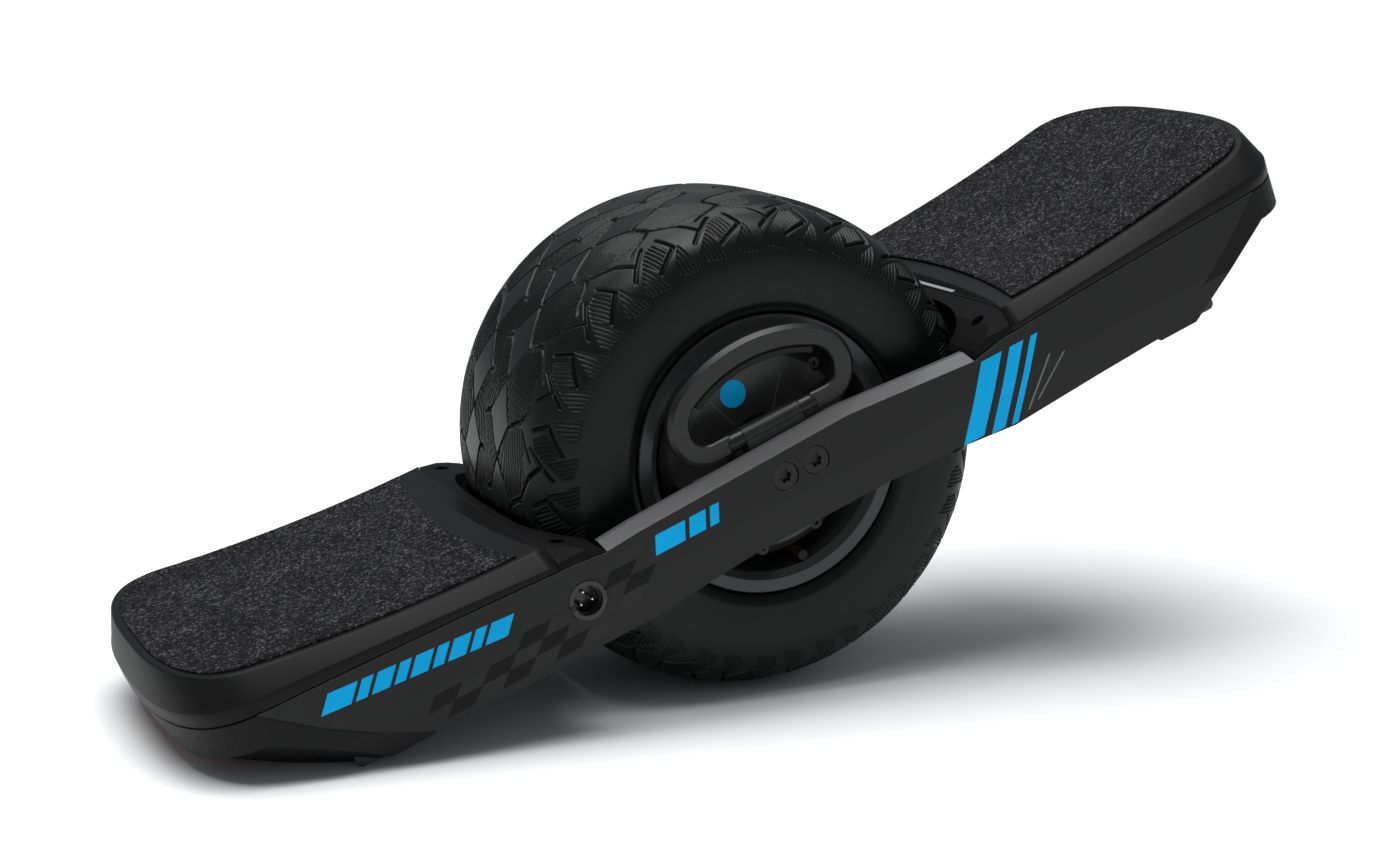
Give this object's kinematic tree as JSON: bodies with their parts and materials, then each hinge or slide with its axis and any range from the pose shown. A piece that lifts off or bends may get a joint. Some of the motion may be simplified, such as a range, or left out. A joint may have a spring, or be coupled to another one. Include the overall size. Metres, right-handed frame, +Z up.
{
  "type": "self-balancing electric skateboard",
  "caption": "Self-balancing electric skateboard with a central hub-motor wheel between grip-taped footpads, side rails and a fold-out carry handle.",
  "frame": {"origin": "on the floor, in the middle of the bounding box, with the board at rest on its tyre and its tail bumper", "axes": "+X towards the raised nose, +Y towards the left side (the side without the carry handle), +Z up"},
  "size_m": [0.7297, 0.2546, 0.3432],
  "materials": {
    "rail_metal": "satin",
    "axle_steel": "brushed",
    "block_metal": "satin",
    "bolt_black": "black oxide",
    "stator_steel": "laminated",
    "copper": "varnished copper",
    "bearing_steel": "polished",
    "cable_jacket": "matte",
    "footpad_plastic": "moulded matte",
    "grip_tape": "coarse grit",
    "sensor_film": "film",
    "trim_plastic": "moulded matte",
    "dark_screws": "black zinc",
    "status_window": "frosted",
    "bumper_plastic": "moulded satin",
    "headlight_plastic": "frosted clear",
    "taillight_plastic": "red tint",
    "circuit_board": "coated",
    "case_plastic": "moulded",
    "lid_metal": "milled",
    "seal_rubber": "matte",
    "cell_wrap": "wrapped cell",
    "port_plastic": "satin black",
    "contact_metal": "plated",
    "bezel_metal": "satin",
    "switch_plastic": "moulded",
    "tyre_rubber": "new rubber",
    "rim_metal": "satin black",
    "rotor_steel": "turned",
    "cover_metal": "satin black",
    "valve_brass": "turned",
    "cage_brass": "turned",
    "handle_metal": "satin black",
    "button_plastic": "satin"
  },
  "bodies": {
    "chassis": {"right_rail": "rail_metal", "left_rail": "rail_metal", "axle_shaft": "axle_steel", "right_axle_block": "block_metal", "left_axle_block": "block_metal", "axle_bolts": "bolt_black", "stator_core": "stator_steel", "stator_windings": "copper", "bearing_inner_rings": "bearing_steel", "motor_cable": "cable_jacket", "power_cable": "cable_jacket", "front_footpad": "footpad_plastic", "rear_footpad": "footpad_plastic", "front_grip_tape": "grip_tape", "rear_grip_tape": "grip_tape", "foot_sensor": "sensor_film", "front_trim": "trim_plastic", "rear_trim": "trim_plastic", "trim_screws": "dark_screws", "status_bar": "status_window", "nose_bumper": "bumper_plastic", "tail_bumper": "bumper_plastic", "bumper_screws": "dark_screws", "headlight_lens": "headlight_plastic", "taillight_lens": "taillight_plastic", "light_boards": "circuit_board", "controller_case": "case_plastic", "controller_lid": "lid_metal", "controller_gasket": "seal_rubber", "controller_board": "circuit_board", "battery_case": "case_plastic", "battery_lid": "lid_metal", "battery_gasket": "seal_rubber", "battery_cells": "cell_wrap", "battery_board": "circuit_board", "lid_screws": "dark_screws", "charge_port": "port_plastic", "charge_pins": "contact_metal", "button_bezel": "bezel_metal", "button_switch": "switch_plastic", "handle_bracket": "block_metal", "handle_pin": "axle_steel", "bracket_screws": "dark_screws"},
    "wheel": {"tyre": "tyre_rubber", "rim": "rim_metal", "rotor_ring": "rotor_steel", "rotor_magnets": "rotor_steel", "right_hub_cover": "cover_metal", "left_hub_cover": "cover_metal", "hub_cover_screws": "dark_screws", "bearing_outer_rings": "bearing_steel", "shaft_seals": "seal_rubber", "valve_stem": "valve_brass", "valve_cap": "seal_rubber"},
    "cages": {"bearing_cages": "cage_brass", "bearing_balls": "bearing_steel"},
    "handle": {"handle_loop": "handle_metal", "handle_grip": "seal_rubber"},
    "button": {"power_button": "button_plastic"}
  },
  "joints": [
    {"name": "wheel_spin", "type": "hinge", "parent": "chassis", "child": "wheel", "pos_m": [0.00978, 0, 0.1524], "axis": [0, 1, 0], "continuous": true},
    {"name": "cage_spin", "type": "hinge", "parent": "chassis", "child": "cages", "pos_m": [0.00978, 0, 0.1524], "axis": [0, 1, 0], "continuous": true},
    {"name": "handle_hinge", "type": "hinge", "parent": "chassis", "child": "handle", "pos_m": [0.00022, -0.1039, 0.17615], "axis": [0.9278, 0, 0.3731], "range_deg": [0, 90]},
    {"name": "power_press", "type": "slide", "parent": "chassis", "child": "button", "axis": [0, -1, 0], "range_m": [0, 0.0012], "stiffness_N_per_m": 500}
  ],
  "couplings": [
    {"joint": "cage_spin", "follows": "wheel_spin", "ratio": 0.58235}
  ]
}
